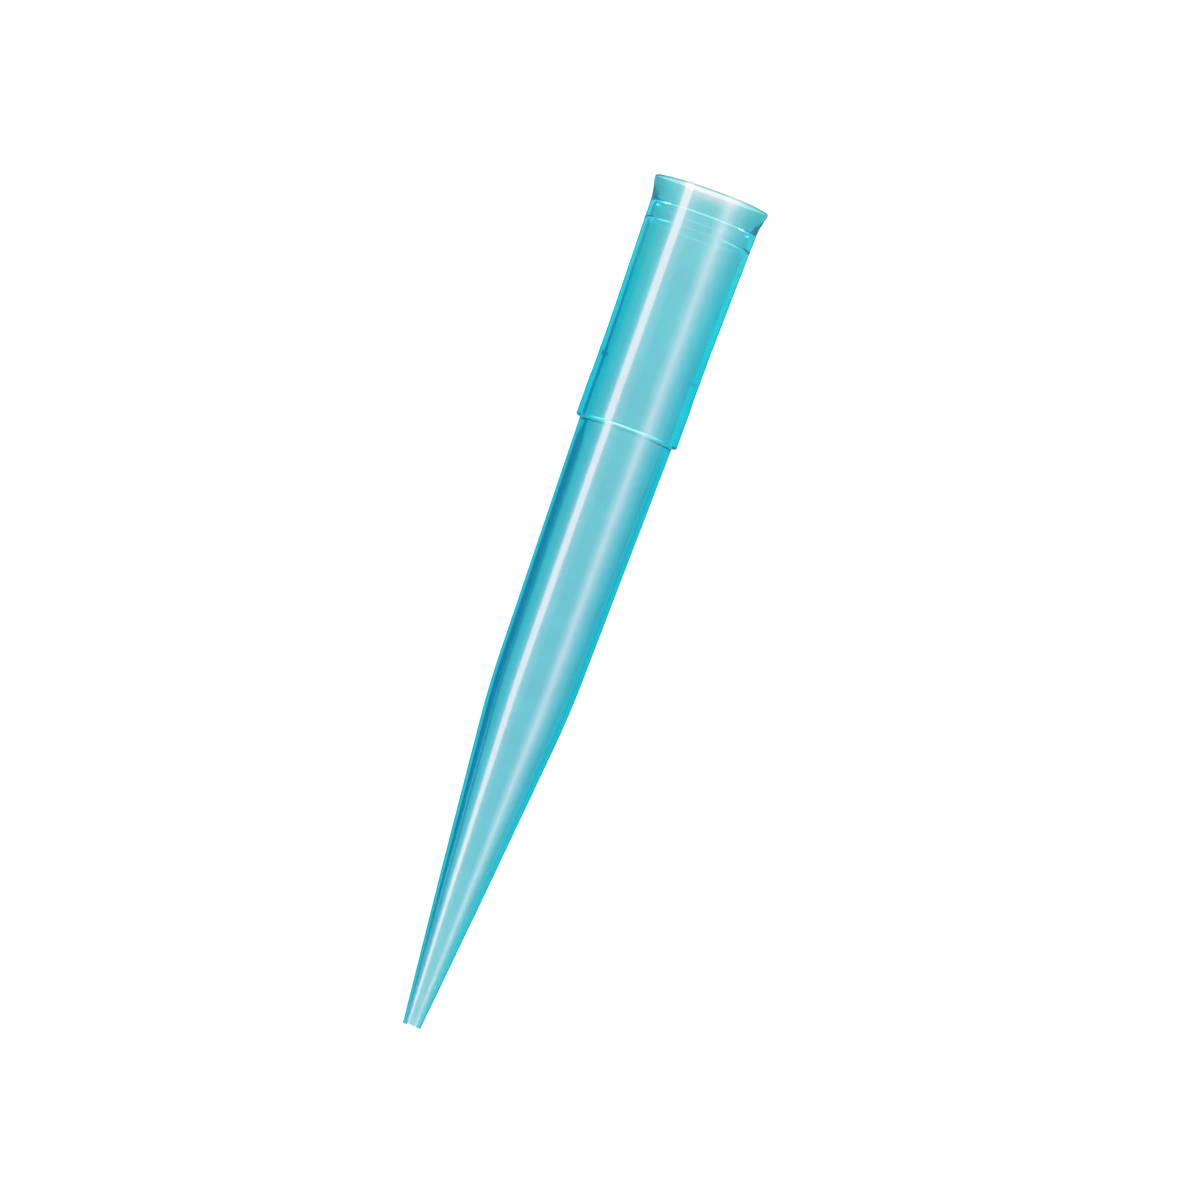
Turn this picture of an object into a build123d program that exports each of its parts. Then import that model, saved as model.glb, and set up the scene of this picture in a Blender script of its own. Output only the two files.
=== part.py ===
from build123d import *
import os

# A disposable 1000 microlitre pipette tip: one piece of injection-moulded polypropylene, round
# about a single axis. It stands on its wide mouth: Z = 0 is the rim, and +Z runs up the axis to
# the nozzle. All sizes are in millimetres.
#
# A core in the mould leaves the bore, and the outside follows it at a named wall. From the mouth
# the bore is a conical lead-in, a relieved band with two seal rings, the tapered seat for a
# pipette's cone, a fine stop, a ledge at the shoulder, and the barrel and nozzle bores.

# Heights along the axis, from the rim
overall_length = 71.0
collar_length = 20.25       # the shoulder, which hangs the tip in a rack
nozzle_length = 27.75       # from the bend under the barrel to the open end
knee_length = 12.3          # from the knee, where the nozzle's taper steepens, to the open end
lead_in_depth = 1.85
seal_ring_depths = (2.0, 3.44)
seat_start = 3.7
seat_depth = 15.1           # the stop, where the seat ends
ledge_offset = 0.25         # the ledge in the bore lies this far past the outer shoulder
bore_bend_lead = 0.65       # the bore bends this far before the outside does

# Diameters of the bore: two that are set, and what it loses between them on its way up
seal_bore = 8.06            # over the crests of the seal rings
seat_narrowing = 0.74       # taper of the seat
stop_step = 0.06
collar_narrowing = 0.03     # from the stop to the ledge
ledge_step = 0.77
barrel_narrowing = 0.94     # taper of the barrel, from the ledge to the bend
orifice_bore = 0.86

# Walls
rim_wall = 0.15
lip_wall = 0.48             # at the root of the lip, beside the seal rings
flare_wall = 0.545           # where the collar's gentle flare starts
shoulder_wall = 0.643
barrel_wall = 0.663
bend_wall = 0.678
knee_wall = 0.548
nozzle_wall = 0.325

# Lip and collar
rim_land = 0.15             # height of the straight edge round the rim
lip_length = 1.9
lip_flare = 0.315           # how far the rim stands out past the root of the lip
flare_length = 10.1         # from the root of the lip to the plain drafted collar

# Seal rings
seal_ring_height = 0.04     # how far a ring stands in from the relieved band
seal_ring_crest = 0.04
seal_ring_base = 0.24
relief_opening = 0.005      # the band opens this much towards the mouth, so that the core draws

# Blends and moulded edges
bend_blend = 65.0
knee_blend = 400.0
shoulder_edge = 0.04
shoulder_root = 0.04
ledge_edge = 0.03

core_overrun = 1.0          # the core runs on past both open ends


def radius_between(start, end, height):
    """Radius at a height on the straight line between two (radius, height) points."""
    share = (height - start[1]) / (end[1] - start[1])
    return start[0] + share * (end[0] - start[0])


# Points of the bore, each (radius, height)
band_start = (seal_bore / 2 + seal_ring_height + relief_opening, lead_in_depth)
seat_mouth = (seal_bore / 2 + seal_ring_height, seat_start)
seat_end = (seat_mouth[0] - seat_narrowing / 2, seat_depth)
stop = (seat_end[0] - stop_step / 2, seat_depth)
ledge_height = collar_length + ledge_offset
ledge_outer = (stop[0] - collar_narrowing / 2, ledge_height)
ledge_inner = (ledge_outer[0] - ledge_step / 2, ledge_height)
bend_height = overall_length - nozzle_length
bore_bend = (ledge_inner[0] - barrel_narrowing / 2, bend_height - bore_bend_lead)
orifice = (orifice_bore / 2, overall_length)

# Points of the outside
lip_root = (band_start[0] + lip_wall, lip_length)
rim_radius = lip_root[0] + lip_flare
flare_height = lip_length + flare_length
flare_start = (radius_between(seat_mouth, seat_end, flare_height) + flare_wall, flare_height)
shoulder_outer = (ledge_outer[0] + shoulder_wall, collar_length)
shoulder_inner = (ledge_inner[0] + barrel_wall, collar_length)
bend = (bore_bend[0] + bend_wall, bend_height)
knee_height = overall_length - knee_length
knee = (radius_between(bore_bend, orifice, knee_height) + knee_wall, knee_height)
nozzle_end = (orifice[0] + nozzle_wall, overall_length)


def seal_ring(depth):
    """The corners of one seal ring, each a point and its rounding."""
    wall = radius_between(band_start, seat_mouth, depth)
    crest = seal_bore / 2
    return [
        ((wall, depth - seal_ring_base / 2), 0),
        ((crest, depth - seal_ring_crest / 2), 0),
        ((crest, depth + seal_ring_crest / 2), 0),
        ((wall, depth + seal_ring_base / 2), 0),
    ]


def core_corners():
    """The core that leaves the bore, from the mouth to the orifice, each a point and its rounding."""
    corners = [
        ((rim_radius - rim_wall, -core_overrun), 0),
        ((rim_radius - rim_wall, 0), 0),
        (band_start, 0),
    ]
    for depth in seal_ring_depths:
        corners += seal_ring(depth)
    corners += [
        (seat_mouth, 0),
        (seat_end, 0),
        (stop, 0),
        (ledge_outer, ledge_edge),
        (ledge_inner, ledge_edge),
        (bore_bend, bend_blend),
        (orifice, 0),
        ((orifice[0], overall_length + core_overrun), 0),
    ]
    return corners


with BuildSketch(Plane.XZ) as core_outline:
    with BuildLine():
        corners = core_corners()
        FilletPolyline(
            (0, -core_overrun),
            [point for point, rounding in corners],
            (0, overall_length + core_overrun),
            radius=[rounding for point, rounding in corners],
        )
        Line((0, overall_length + core_overrun), (0, -core_overrun))
    make_face()

rim_top = (rim_radius, rim_land)
with BuildSketch(Plane.XZ) as skin_outline:
    with BuildLine():
        Polyline((0, overall_length), (0, 0), (rim_radius, 0), rim_top)
        body = FilletPolyline(
            (0, overall_length),
            nozzle_end,
            knee,
            bend,
            shoulder_inner,
            shoulder_outer,
            flare_start,
            radius=[0, knee_blend, bend_blend, shoulder_root, shoulder_edge],
        )
        flare = TangentArc(body @ 1, lip_root, tangent=body % 1)
        TangentArc(flare @ 1, rim_top, tangent=flare % 1)
    make_face()

core = revolve(core_outline.sketch, axis=Axis.Z)
skin = revolve(skin_outline.sketch, axis=Axis.Z)
pipette_tip = (skin - core).solid()

os.makedirs("parts", exist_ok=True)
export_step(pipette_tip, "parts/pipette_tip.step")
print(f"volume {pipette_tip.volume:.1f} cubic mm")
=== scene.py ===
import math

import bmesh
import bpy
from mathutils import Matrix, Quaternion, Vector


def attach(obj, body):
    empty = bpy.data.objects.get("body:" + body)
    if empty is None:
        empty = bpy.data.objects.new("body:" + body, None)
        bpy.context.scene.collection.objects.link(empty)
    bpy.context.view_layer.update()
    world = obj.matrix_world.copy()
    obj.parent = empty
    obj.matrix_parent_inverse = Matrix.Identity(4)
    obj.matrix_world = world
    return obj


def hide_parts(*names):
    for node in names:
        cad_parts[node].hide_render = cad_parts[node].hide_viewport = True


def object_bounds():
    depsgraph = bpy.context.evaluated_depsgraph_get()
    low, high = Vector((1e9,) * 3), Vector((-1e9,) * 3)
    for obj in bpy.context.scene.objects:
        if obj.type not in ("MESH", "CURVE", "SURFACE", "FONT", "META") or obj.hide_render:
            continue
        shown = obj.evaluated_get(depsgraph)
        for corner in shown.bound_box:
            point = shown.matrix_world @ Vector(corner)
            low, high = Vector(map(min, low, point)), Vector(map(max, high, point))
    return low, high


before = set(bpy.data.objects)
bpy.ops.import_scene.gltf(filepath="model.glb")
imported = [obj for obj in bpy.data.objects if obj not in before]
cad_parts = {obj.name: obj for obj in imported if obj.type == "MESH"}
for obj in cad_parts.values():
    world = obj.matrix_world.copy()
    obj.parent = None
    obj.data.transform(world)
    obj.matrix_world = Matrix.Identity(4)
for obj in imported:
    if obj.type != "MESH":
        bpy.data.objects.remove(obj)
cad_low, cad_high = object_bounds()
scene = bpy.context.scene

# ---------------------------------------------------------------------------------------------
# Pipette tip: one shot of clear polypropylene, dyed blue. A steel core leaves the bore and a
# polished cavity the outside, so the wall is thin and nearly even, and every edge is crisp. It
# stands on its wide mouth. Sizes are in millimetres, and MM turns them to the scene's metres.
# ---------------------------------------------------------------------------------------------
MM = 0.001

overall_length = (cad_high.z - cad_low.z) / MM
rim_radius = min(cad_high.x, cad_high.y) / MM

# Heights above the rim
rim_land = 0.15
collar_length = 20.25
flare_start_height = 12.0
lip_root_height = 1.9
lead_in_depth = 1.85
seal_ring_depths = (2.0, 3.44)
seat_start = 3.7
seat_depth = 15.1
ledge_height = 20.5
bore_bend_height = 42.6
bend_height = 43.25
knee_height = 58.7

# Radii of the bore
band_radius = 4.075
seal_ring_radius = 4.03
seat_mouth_radius = 4.07
seat_end_radius = 3.70
stop_radius = 3.67
ledge_outer_radius = 3.655
ledge_inner_radius = 3.27
bore_bend_radius = 2.80
orifice_radius = 0.43

# Walls
rim_wall = 0.15
lip_wall = 0.48
flare_wall = 0.545
shoulder_wall = 0.643
barrel_wall = 0.663
bend_wall = 0.678
knee_wall = 0.548
nozzle_wall = 0.325

# Seal rings, and the radii of blends and moulded edges
seal_ring_crest = 0.04
seal_ring_base = 0.24
seal_ring_blend = 0.08
rim_edge = 0.03
nozzle_edge = 0.04
stop_edge = 0.01
stop_slope = 0.2
mouth_edge = 0.06
shoulder_edge = 0.04
shoulder_root = 0.04
ledge_edge = 0.03
bend_blend = 65.0
knee_blend = 400.0

STEPS_AROUND = 288
CRISP, SOFT, LONG = 4, 8, 16       # segments of a moulded edge, a fillet and a long blend
SUPPORT = 0.06                     # a ring this near each end of a straight run keeps its shading straight
WHOLE_SIDE = 0.999                 # an arc takes this much of its side, so that neighbours never meet
WELD = 0.0005                      # points nearer than this are one


def between(start, end, height):
    """Radius at a height on the straight line between two (radius, height) points."""
    share = (height - start[1]) / (end[1] - start[1])
    return start[0] + share * (end[0] - start[0])


def fillet(point, before, after, radius, segments):
    """A corner with the length of edge that an arc of this radius takes from each side."""
    arriving = Vector(point) - Vector(before)
    leaving = Vector(after) - Vector(point)
    return point, radius * math.tan(arriving.angle(leaving) / 2), segments


def tangent_corner(start, direction, end):
    """The corner of an arc that leaves start along direction and ends at end."""
    chord = Vector(end) - Vector(start)
    side = chord.length / (2 * math.cos(chord.angle(direction)))
    corner = Vector(start) + direction.normalized() * side
    return tuple(corner), side * WHOLE_SIDE, LONG


# Corners of the bore, from the mouth to the orifice, each (radius, height)
mouth = (rim_radius - rim_wall, 0)
band_start = (band_radius, lead_in_depth)
seat_mouth = (seat_mouth_radius, seat_start)
seat_end = (seat_end_radius, seat_depth - stop_slope)
stop = (stop_radius, seat_depth)
ledge_outer = (ledge_outer_radius, ledge_height)
ledge_inner = (ledge_inner_radius, ledge_height)
bore_bend = (bore_bend_radius, bore_bend_height)
orifice = (orifice_radius, overall_length)

# Corners of the outside, from the nozzle's end back to the rim
nozzle_end = (orifice_radius + nozzle_wall, overall_length)
knee = (between(bore_bend, orifice, knee_height) + knee_wall, knee_height)
bend = (bore_bend_radius + bend_wall, bend_height)
shoulder_inner = (ledge_inner_radius + barrel_wall, collar_length)
shoulder_outer = (ledge_outer_radius + shoulder_wall, collar_length)
flare_start = (between(seat_mouth, seat_end, flare_start_height) + flare_wall, flare_start_height)
lip_root = (band_radius + lip_wall, lip_root_height)
rim_top = (rim_radius, rim_land)
rim = (rim_radius, 0)

# Two arcs lead on from the plain collar: its gentle flare, and the lip's steep one
collar_slope = Vector(flare_start) - Vector(shoulder_outer)
flare_corner = tangent_corner(flare_start, collar_slope, lip_root)
lip_slope = Vector(lip_root) - Vector(flare_corner[0])
lip_corner = tangent_corner(lip_root, lip_slope, rim_top)

# The whole section, as each corner, what its blend takes of either side, and its segments
section = [
    fillet(mouth, rim, band_start, rim_edge, CRISP),
    fillet(band_start, mouth, seat_mouth, mouth_edge, CRISP),
]
for depth in seal_ring_depths:
    foot = between(band_start, seat_mouth, depth)
    near_foot = (foot, depth - seal_ring_base / 2)
    near_crest = (seal_ring_radius, depth - seal_ring_crest / 2)
    far_crest = (seal_ring_radius, depth + seal_ring_crest / 2)
    far_foot = (foot, depth + seal_ring_base / 2)
    section += [
        fillet(near_foot, band_start, near_crest, seal_ring_blend, CRISP),
        fillet(near_crest, near_foot, far_crest, seal_ring_blend, CRISP),
        fillet(far_crest, near_crest, far_foot, seal_ring_blend, CRISP),
        fillet(far_foot, far_crest, seat_mouth, seal_ring_blend, CRISP),
    ]
section += [
    (seat_mouth, 0, 0),
    fillet(seat_end, seat_mouth, stop, stop_edge, CRISP),
    fillet(stop, seat_end, ledge_outer, stop_edge, CRISP),
    fillet(ledge_outer, stop, ledge_inner, ledge_edge, SOFT),
    fillet(ledge_inner, ledge_outer, bore_bend, ledge_edge, SOFT),
    fillet(bore_bend, ledge_inner, orifice, bend_blend, LONG),
    fillet(orifice, bore_bend, nozzle_end, nozzle_edge, CRISP),
    fillet(nozzle_end, orifice, knee, nozzle_edge, CRISP),
    fillet(knee, nozzle_end, bend, knee_blend, LONG),
    fillet(bend, knee, shoulder_inner, bend_blend, LONG),
    fillet(shoulder_inner, bend, shoulder_outer, shoulder_root, SOFT),
    fillet(shoulder_outer, shoulder_inner, flare_start, shoulder_edge, SOFT),
    (flare_start, 0, 0),
    flare_corner,
    (lip_root, 0, 0),
    lip_corner,
    (rim_top, 0, 0),
    fillet(rim, rim_top, mouth, rim_edge, CRISP),
]

# The section is drawn flat, its corners are blended, and it is spun round the axis
wall = bmesh.new()
points = [wall.verts.new((radius * MM, 0, height * MM)) for (radius, height), side, segments in section]
wall.faces.new(points)
for corner, (place, side, segments) in zip(points, section):
    if side > 0:
        bmesh.ops.bevel(
            wall, geom=[corner], offset=side * MM, offset_type="OFFSET", affect="VERTICES",
            segments=segments, profile=0.5, material=-1, clamp_overlap=False,
        )
bmesh.ops.delete(wall, geom=list(wall.faces), context="FACES_ONLY")
straight_runs = [edge for edge in wall.edges if edge.calc_length() > 4 * SUPPORT * MM]
for run in straight_runs:
    share = SUPPORT * MM / run.calc_length()
    first, last = run.verts
    rest = bmesh.utils.edge_split(run, first, share)[0]
    longer = max(rest, run, key=lambda part: part.calc_length())
    bmesh.utils.edge_split(longer, last, share / (1 - share))
bmesh.ops.spin(
    wall, geom=list(wall.edges), cent=(0, 0, 0), axis=(0, 0, 1), angle=math.tau,
    steps=STEPS_AROUND, use_merge=True, use_duplicate=False,
)
bmesh.ops.remove_doubles(wall, verts=wall.verts, dist=WELD * MM)
bmesh.ops.recalc_face_normals(wall, faces=wall.faces)
for face in wall.faces:
    face.smooth = True

mesh = bpy.data.meshes.new("moulded_tip")
wall.to_mesh(mesh)
wall.free()
tip = bpy.data.objects.new("moulded_tip", mesh)
scene.collection.objects.link(tip)


def linear(hex_colour):
    """An sRGB hex colour as linear RGBA."""
    channels = [int(hex_colour[i:i + 2], 16) / 255 for i in (1, 3, 5)]
    curve = [c / 12.92 if c <= 0.04045 else ((c + 0.055) / 1.055) ** 2.4 for c in channels]
    return (*curve, 1)


def node(tree, kind, inputs=None, links=None, **settings):
    """Adds a node, sets its inputs and settings, and links the named inputs to other nodes' sockets."""
    made = tree.nodes.new(kind)
    for name, value in settings.items():
        setattr(made, name, value)
    for name, value in (inputs or {}).items():
        made.inputs[name].default_value = value
    for name, socket in (links or {}).items():
        tree.links.new(socket, made.inputs[name])
    return made


# Moulded polypropylene, clear grade with a blue dye, which takes out red within a fraction of a
# millimetre. Crystals leave a trace of haze, most in the thick root of the lip. The cavity is
# polished, with faint streaks along its draw, but the narrow nozzle stays less bright.
DEEP_TINT, PALE_TINT = "#A6D8D9", "#B4DCDD"
DYE = "#00F6FB"
DYE_DENSITY = 2800.0
CLOUDS_PER_MM = 0.35               # the melt's flow, in clouds about 3 mm wide
STREAKS_PER_MM = 1.6               # polishing streaks about 0.6 mm wide
STREAK_STRETCH = 0.06              # and 10 mm long
STREAK_DEPTH = 0.002
HAZE_FROM, HAZE_TO = 1.8, 9.0      # heights between which the haze clears
MATT_FROM = 52.0                   # height at which the nozzle starts to lose its polish

plastic = bpy.data.materials.new("moulded_polypropylene")
plastic.use_nodes = True
moulded = plastic.node_tree
moulded.nodes.clear()
on_tip = node(moulded, "ShaderNodeTexCoord")
in_mm = node(
    moulded, "ShaderNodeMapping", {"Scale": (1 / MM, 1 / MM, 1 / MM)}, {"Vector": on_tip.outputs["Object"]},
)
height = node(moulded, "ShaderNodeSeparateXYZ", links={"Vector": in_mm.outputs["Vector"]})
clouds = node(
    moulded, "ShaderNodeTexNoise", {"Scale": CLOUDS_PER_MM, "Detail": 2.0},
    {"Vector": in_mm.outputs["Vector"]},
)
tint = node(moulded, "ShaderNodeValToRGB", links={"Fac": clouds.outputs["Fac"]})
deep, pale = tint.color_ramp.elements
deep.position, pale.position = 0.35, 0.65
deep.color, pale.color = linear(DEEP_TINT), linear(PALE_TINT)
along = node(
    moulded, "ShaderNodeMapping", {"Scale": (1, 1, STREAK_STRETCH)}, {"Vector": in_mm.outputs["Vector"]},
)
streaks = node(
    moulded, "ShaderNodeTexNoise", {"Scale": STREAKS_PER_MM, "Detail": 3.0},
    {"Vector": along.outputs["Vector"]},
)
polish = node(
    moulded, "ShaderNodeMapRange", {"From Min": 0.3, "From Max": 0.7, "To Min": 0.025, "To Max": 0.05},
    {"Value": streaks.outputs["Fac"]},
)
matt_end = node(
    moulded, "ShaderNodeMapRange",
    {"From Min": MATT_FROM, "From Max": overall_length, "To Min": 0.0, "To Max": 0.18},
    {"Value": height.outputs["Z"]},
)
finish = node(
    moulded, "ShaderNodeMath", links={0: polish.outputs["Result"], 1: matt_end.outputs["Result"]},
    operation="ADD",
)
waves = node(
    moulded, "ShaderNodeBump", {"Strength": 0.5, "Distance": STREAK_DEPTH * MM},
    {"Height": streaks.outputs["Fac"]},
)
clarity = node(
    moulded, "ShaderNodeMapRange",
    {"From Min": HAZE_FROM, "From Max": HAZE_TO, "To Min": 0.94, "To Max": 0.995},
    {"Value": height.outputs["Z"]},
)
shader = node(moulded, "ShaderNodeBsdfPrincipled", {"IOR": 1.49}, {
    "Base Color": tint.outputs["Color"],
    "Roughness": finish.outputs["Value"],
    "Normal": waves.outputs["Normal"],
    "Transmission Weight": clarity.outputs["Result"],
})
dye = node(moulded, "ShaderNodeVolumeAbsorption", {"Color": linear(DYE), "Density": DYE_DENSITY})
node(
    moulded, "ShaderNodeOutputMaterial",
    links={"Surface": shader.outputs["BSDF"], "Volume": dye.outputs["Volume"]},
)
mesh.materials.append(plastic)

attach(tip, "root")
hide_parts("pipette_tip")

# ---------------------------------------------------------------------------------------------
# Floor and light, in metres. A white table in a white room, both just overexposed, under one
# large lamp. A cloth tent round the tip gives the long highlights with its bright strips. Low
# panels behind light the rings and the shoulder through the plastic, and cards draw its edges.
# ---------------------------------------------------------------------------------------------
FLOOR_HALF = 15.0
FLOOR_GAP = 0.02 * MM              # under the rim
FLOOR_WHITE = "#F2F2F2"
ROOM = 1.35                        # radiance of the white room

ground = bmesh.new()
bmesh.ops.create_grid(ground, x_segments=1, y_segments=1, size=FLOOR_HALF)
bmesh.ops.translate(ground, verts=ground.verts, vec=(0, 0, -FLOOR_GAP))
floor_mesh = bpy.data.meshes.new("floor")
ground.to_mesh(floor_mesh)
ground.free()
floor = bpy.data.objects.new("floor", floor_mesh)
scene.collection.objects.link(floor)
card = bpy.data.materials.new("matt_white_card")
card.use_nodes = True
card.node_tree.nodes["Principled BSDF"].inputs["Base Color"].default_value = linear(FLOOR_WHITE)
card.node_tree.nodes["Principled BSDF"].inputs["Roughness"].default_value = 1.0
floor_mesh.materials.append(card)
floor.visible_glossy = False
floor.visible_transmission = False

world = bpy.data.worlds.new("white_room")
scene.world = world
world.use_nodes = True
world.node_tree.nodes["Background"].inputs["Color"].default_value = linear("#FFFFFF")
world.node_tree.nodes["Background"].inputs["Strength"].default_value = ROOM

OVERHEAD_SIZE = 16.0
OVERHEAD_HEIGHT = 4.0
OVERHEAD_RADIANCE = 0.8
overhead = bpy.data.lights.new("overhead_softbox", "AREA")
overhead.size = OVERHEAD_SIZE
overhead.energy = OVERHEAD_RADIANCE * OVERHEAD_SIZE ** 2 * math.pi
overhead_softbox = bpy.data.objects.new("overhead_softbox", overhead)
overhead_softbox.location = (0, 0, OVERHEAD_HEIGHT)
overhead_softbox.visible_camera = False
overhead_softbox.visible_transmission = False
scene.collection.objects.link(overhead_softbox)

SHEET_STEP = 10                    # degrees that one flat of a curved sheet takes


def compass(azimuth, distance, height=0.0):
    """A place round the tip: azimuth 0 is the camera's side, and 90 is +X."""
    turn = math.radians(azimuth)
    return Vector((math.sin(turn) * distance, -math.cos(turn) * distance, height))


def sheet(name, azimuths, heights, distance, glow, radiance, mirrored):
    """A glowing sheet round the tip. The plastic either mirrors it or shows it through."""
    first, last = azimuths
    foot, top = heights
    panel = bmesh.new()
    low_corner = panel.verts.new(compass(first, distance, foot))
    high_corner = panel.verts.new(compass(first, distance, top))
    side = panel.edges.new((low_corner, high_corner))
    bmesh.ops.spin(
        panel, geom=[low_corner, high_corner, side], cent=(0, 0, 0), axis=(0, 0, 1),
        angle=math.radians(last - first), steps=max(1, round((last - first) / SHEET_STEP)),
        use_merge=False, use_duplicate=False,
    )
    panel_mesh = bpy.data.meshes.new(name)
    panel.to_mesh(panel_mesh)
    panel.free()
    hung = bpy.data.objects.new(name, panel_mesh)
    scene.collection.objects.link(hung)
    hung.visible_camera = hung.visible_shadow = hung.visible_diffuse = False
    hung.visible_glossy = mirrored
    hung.visible_transmission = not mirrored
    surface = bpy.data.materials.new(name)
    surface.use_nodes = True
    cloth = surface.node_tree
    cloth.nodes.clear()
    emission = node(cloth, "ShaderNodeEmission", {"Color": linear(glow), "Strength": radiance})
    node(cloth, "ShaderNodeOutputMaterial", links={"Surface": emission.outputs["Emission"]})
    panel_mesh.materials.append(surface)
    return cloth


# The tent, lit from outside, as (azimuth, radiance). Its back is dim and takes the plastic's blue.
TENT_GLOW = (
    (-180, 1.0), (-140, 1.0), (-125, 0.1), (-110, 0.4), (-90, 1.3), (-70, 3.4), (-58, 6.2), (-42, 12.0),
    (-30, 7.2), (-18, 4.2), (10, 3.9), (30, 6.0), (37, 8.0), (40, 19.0), (54, 19.0), (57, 8.0), (62, 3.7),
    (72, 1.7), (90, 0.8), (105, 0.1), (125, 0.1), (140, 1.0), (180, 1.0),
)
BRIGHTEST = 19.0
BACK_FROM = 130
LAMP_TINT = linear("#FFCAD2")      # a touch of pink
BACK_TINT = linear("#38ADC4")
QUARTER_TURN = math.radians(90)    # brings the ends of the radial gradient behind the tip

tent = sheet("diffusion_tent", (-180, 180), (-0.8, 1.6), 1.6, "#FFFFFF", BRIGHTEST, mirrored=True)
on_tent = node(tent, "ShaderNodeTexCoord")
turned = node(
    tent, "ShaderNodeMapping", {"Rotation": (0, 0, QUARTER_TURN)}, {"Vector": on_tent.outputs["Object"]},
)
around = node(
    tent, "ShaderNodeTexGradient", links={"Vector": turned.outputs["Vector"]}, gradient_type="RADIAL",
)
ramp = node(tent, "ShaderNodeValToRGB", links={"Fac": around.outputs["Fac"]})
marks = ramp.color_ramp.elements
for azimuth, glow in TENT_GLOW[1:-1]:
    marks.new(azimuth / 360 + 0.5)
for mark, (azimuth, glow) in zip(marks, TENT_GLOW):
    colour = BACK_TINT if abs(azimuth) > BACK_FROM else LAMP_TINT
    mark.position = azimuth / 360 + 0.5
    mark.color = [glow / BRIGHTEST * channel for channel in colour]
tent.links.new(ramp.outputs["Color"], tent.nodes["Emission"].inputs["Color"])

# Low behind the tip a narrow lamp gives the back its highlight
sheet("back_lamp", (171, 189), (-3.0, -0.11), 1.55, "#FFE6EA", 12.0, mirrored=True)

# High in front a wide glow fades in upwards and dies away to both sides. The flared lip mirrors it.
high_glow = sheet("high_front_glow", (-110, 110), (0.2, 4.0), 1.5, "#FF98A2", 1.0, mirrored=True)
on_glow = node(high_glow, "ShaderNodeTexCoord")
where = node(high_glow, "ShaderNodeSeparateXYZ", links={"Vector": on_glow.outputs["Object"]})
rise = node(
    high_glow, "ShaderNodeMapRange", {"From Min": 0.25, "From Max": 0.9, "To Min": 0.0, "To Max": 18.0},
    {"Value": where.outputs["Z"]}, interpolation_type="SMOOTHSTEP",
)
front = node(
    high_glow, "ShaderNodeMapRange", {"From Min": -1.4, "From Max": -0.1, "To Min": 1.0, "To Max": 0.0},
    {"Value": where.outputs["Y"]}, interpolation_type="SMOOTHSTEP",
)
fade = node(
    high_glow, "ShaderNodeMath", links={0: rise.outputs["Result"], 1: front.outputs["Result"]},
    operation="MULTIPLY",
)
glowing = high_glow.nodes["Emission"]
high_glow.links.new(fade.outputs["Value"], glowing.inputs["Strength"])
clear = node(high_glow, "ShaderNodeBsdfTransparent")
both = node(
    high_glow, "ShaderNodeAddShader", links={0: clear.outputs["BSDF"], 1: glowing.outputs["Emission"]},
)
high_glow.links.new(both.outputs["Shader"], high_glow.nodes["Material Output"].inputs["Surface"])

# Seen through the plastic, each as its name, azimuths, heights, distance, colour and radiance:
# warm panels low behind light the rings and the shoulder, and cards close by draw the edges
SEEN_THROUGH = (
    ("low_panel_left", (145, 172), (-1.12, -0.28), 1.6, "#FF8C94", 16.0),
    ("low_panel_right", (-172, -145), (-1.12, -0.28), 1.6, "#FF8890", 12.0),
    ("low_panel_middle", (172, 188), (-0.58, -0.28), 1.6, "#FFFFFF", 1.9),
    ("floor_panel", (150, 210), (-2.8, -0.75), 1.6, "#FF8C90", 60.0),
    ("blue_card", (141, 157), (0.0135, 0.12), 0.12, "#A0A6C1", 1.0),
    ("blue_flag", (124, 141), (-0.05, 0.12), 0.12, "#A8BCE1", 1.0),
    ("grey_card", (-155, -118), (0.0135, 0.12), 0.12, "#FFFFFF", 1.05),
)
for name, azimuths, heights, distance, glow, radiance in SEEN_THROUGH:
    sheet(name, azimuths, heights, distance, glow, radiance, mirrored=False)

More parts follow.
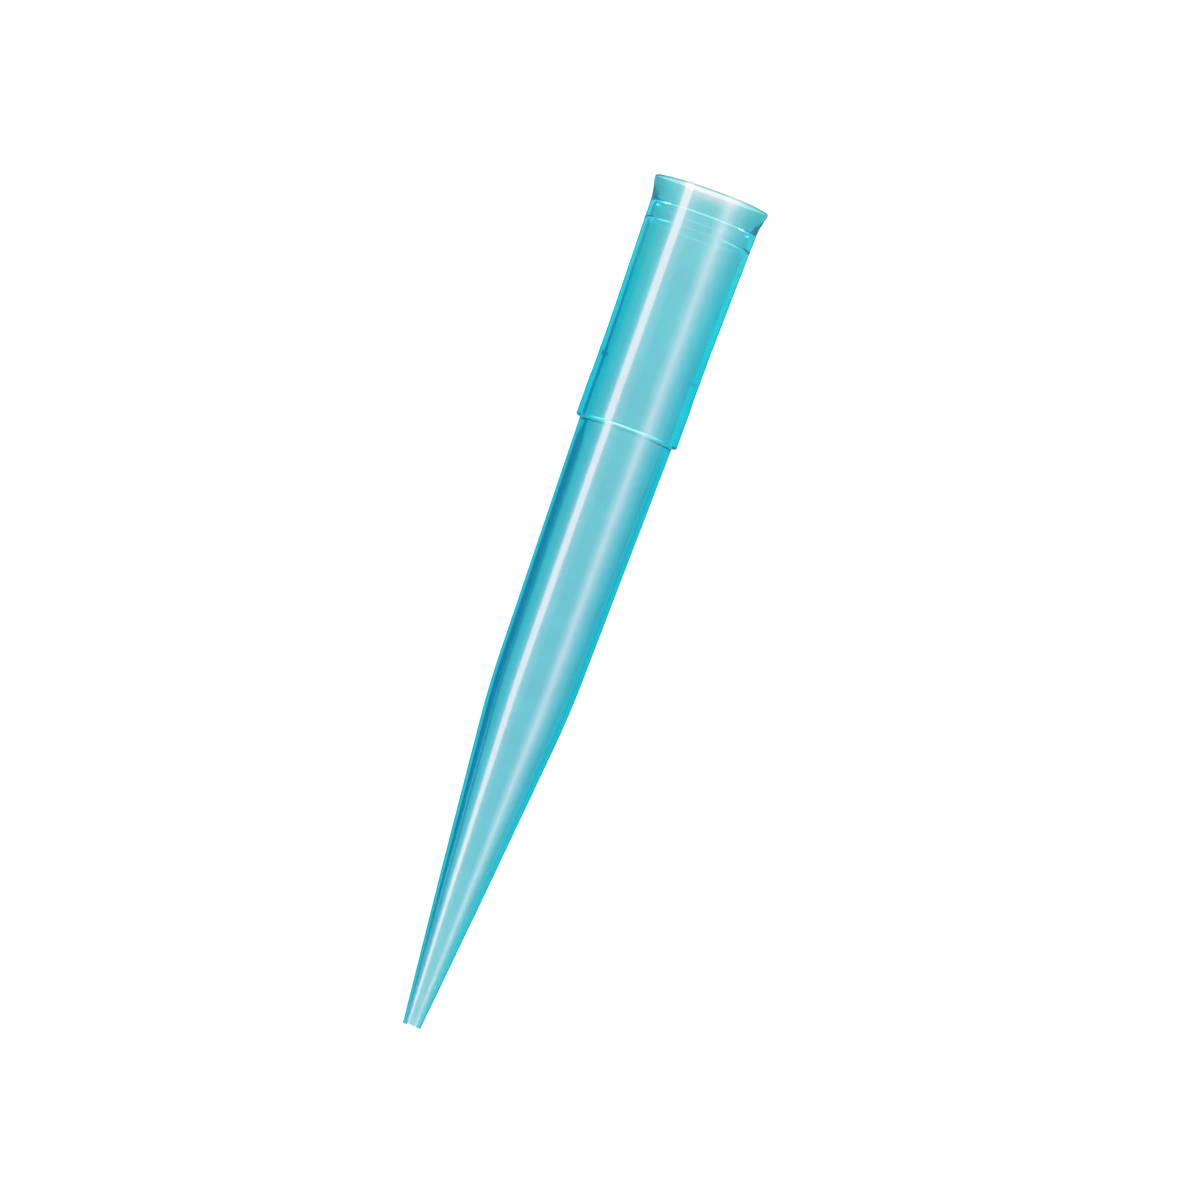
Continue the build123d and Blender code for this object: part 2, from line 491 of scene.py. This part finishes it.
# ---------------------------------------------------------------------------------------------
# Camera, in metres: far off with a long lens, just above the table, and rolled so that the tip
# hangs. The film is true to linear light in the darks and middle tones, with a soft shoulder.
# ---------------------------------------------------------------------------------------------
CAMERA_DISTANCE = 1.2
CAMERA_ELEVATION = 3.9
CAMERA_ROLL = -160.14
FRAME_WIDTH = 0.09625
AIM_RIGHT, AIM_UP = 0.00306, 0.00079

elevation = math.radians(CAMERA_ELEVATION)
toward = -compass(0, math.cos(elevation), math.sin(elevation))
level = toward.to_track_quat("-Z", "Y")
rolled = level @ Quaternion((0, 0, 1), math.radians(CAMERA_ROLL))
lens = bpy.data.cameras.new("camera")
lens.lens = lens.sensor_width * CAMERA_DISTANCE / FRAME_WIDTH
camera = bpy.data.objects.new("camera", lens)
camera.rotation_mode = "QUATERNION"
camera.rotation_quaternion = rolled
aim = (cad_low + cad_high) / 2 + rolled @ Vector((AIM_RIGHT, AIM_UP, 0))
camera.location = aim - toward * CAMERA_DISTANCE
scene.collection.objects.link(camera)
scene.camera = camera

WHITE = 1.6                        # the least radiance that shows as pure white
STRAIGHT_TO = 0.5                  # and the greatest that shows as it is
SHOULDER_STEPS = 6
ALL_CHANNELS = 3
shoulder_power = (WHITE - STRAIGHT_TO) / (1 - STRAIGHT_TO)
view = scene.view_settings
view.view_transform = "Standard"
view.use_curve_mapping = True
view.curve_mapping.white_level = (WHITE, WHITE, WHITE)
view.curve_mapping.extend = "HORIZONTAL"
film = view.curve_mapping.curves[ALL_CHANNELS]
film.points.new(STRAIGHT_TO / 2 / WHITE, STRAIGHT_TO / 2)
for step in range(SHOULDER_STEPS):
    climb = step / SHOULDER_STEPS
    caught = STRAIGHT_TO + (WHITE - STRAIGHT_TO) * climb
    shown = STRAIGHT_TO + (1 - STRAIGHT_TO) * (1 - (1 - climb) ** shoulder_power)
    film.points.new(caught / WHITE, shown)
view.curve_mapping.update()

BOUNCES = 16                       # light crosses many walls of the plastic
scene.cycles.max_bounces = BOUNCES
scene.cycles.glossy_bounces = BOUNCES
scene.cycles.transmission_bounces = BOUNCES
